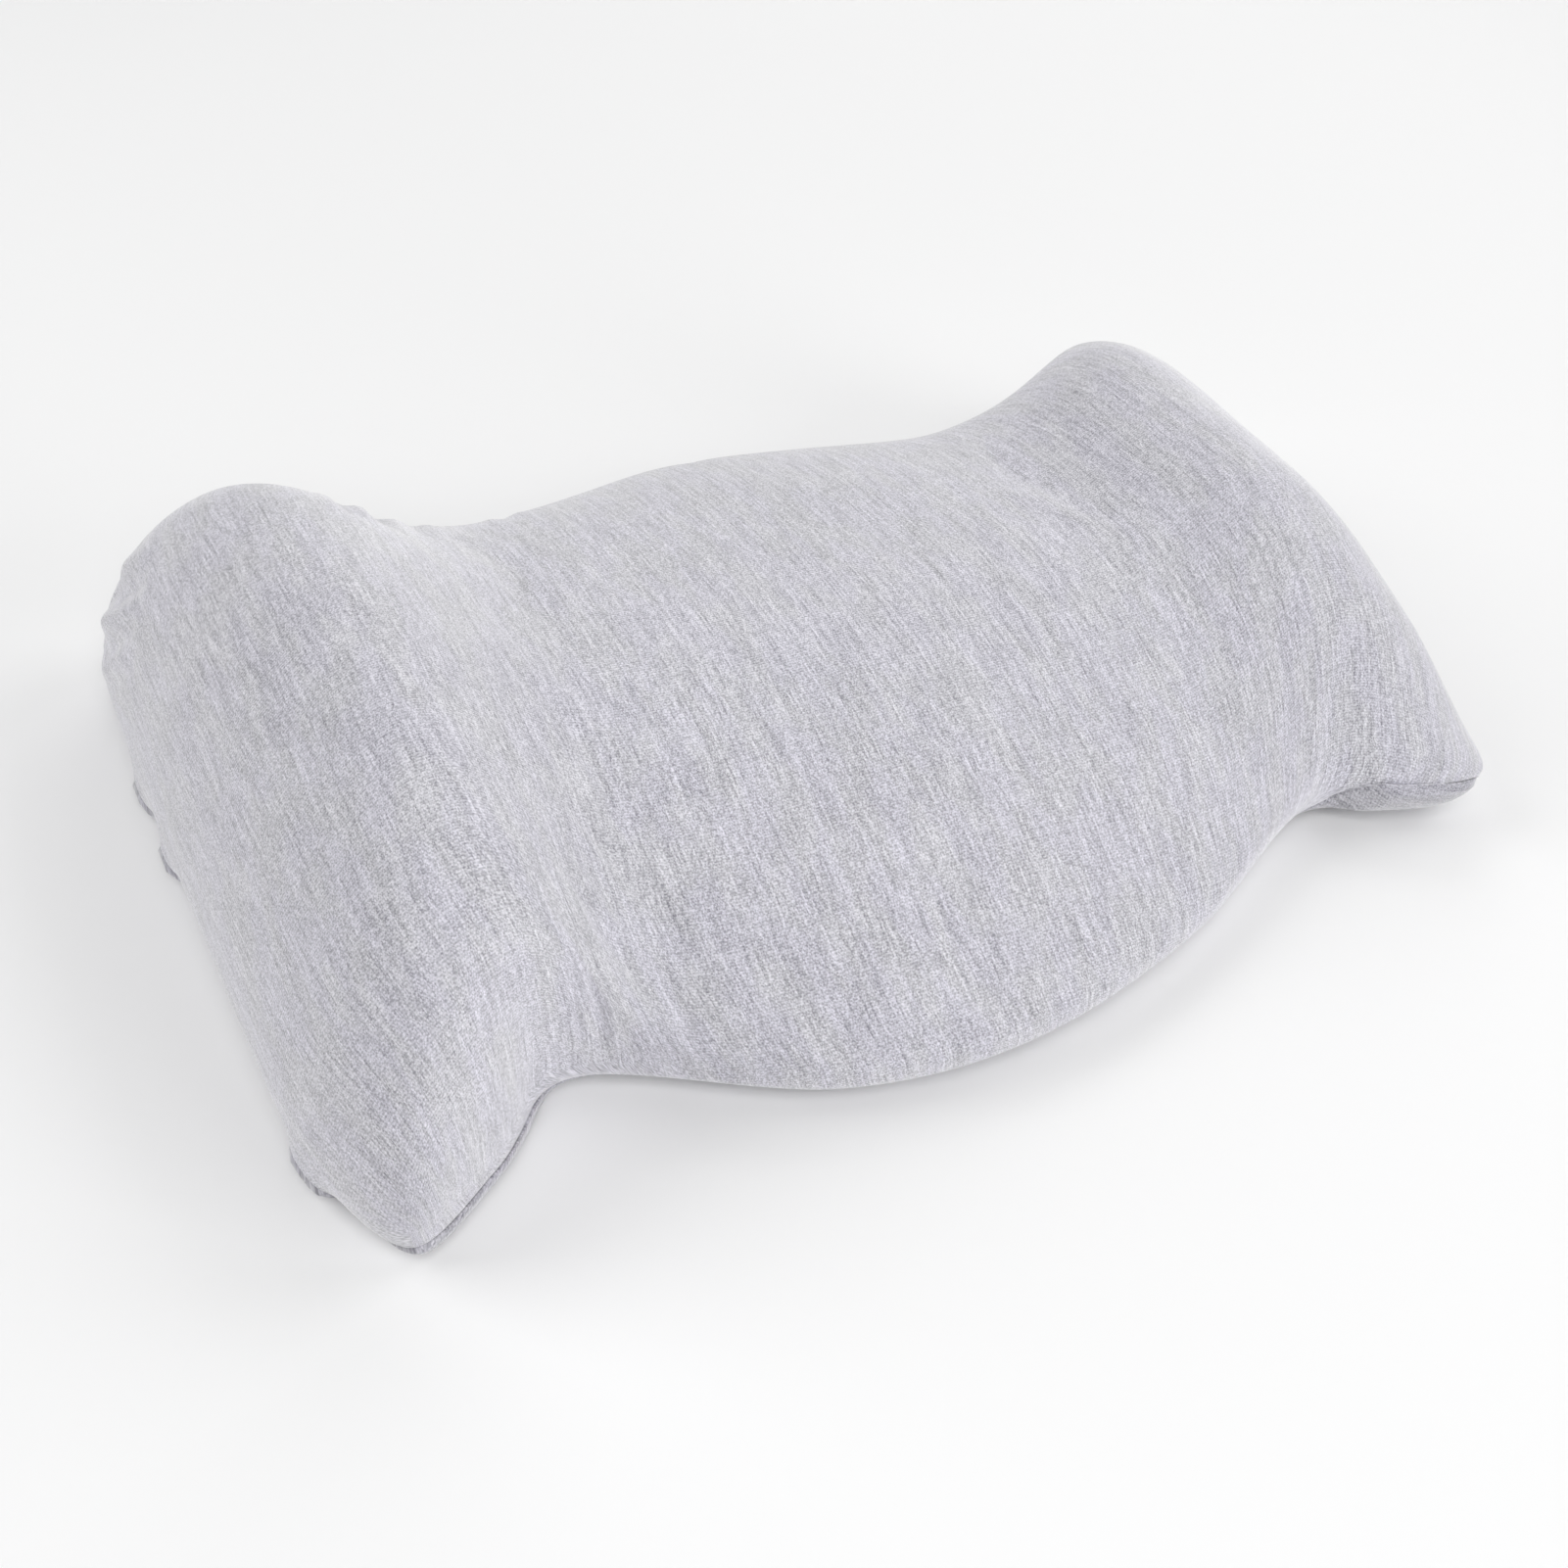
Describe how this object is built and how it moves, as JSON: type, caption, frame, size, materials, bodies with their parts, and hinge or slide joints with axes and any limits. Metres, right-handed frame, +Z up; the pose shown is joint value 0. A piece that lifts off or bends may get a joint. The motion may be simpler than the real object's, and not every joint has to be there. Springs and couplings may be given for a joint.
{
  "type": "contoured lumbar pillow",
  "caption": "Filled lumbar pillow in heather grey jersey, with a raised wing at each end, a waist beside each wing, a crowned middle and a flat under panel.",
  "frame": {"origin": "under the middle of the pillow's box, on the surface that it lies on", "axes": "+X along the pillow from the left wing to the right wing, -Y its fuller front edge, +Z up"},
  "size_m": [0.4412, 0.2812, 0.1],
  "materials": {
    "grey_jersey": "soft single jersey knit in heather grey, matt, with fine ribs along the pillow and pale and dark flecks across it"
  },
  "bodies": {
    "root": {"pillow_body": "grey_jersey", "under_panel": "grey_jersey"}
  },
  "joints": []
}
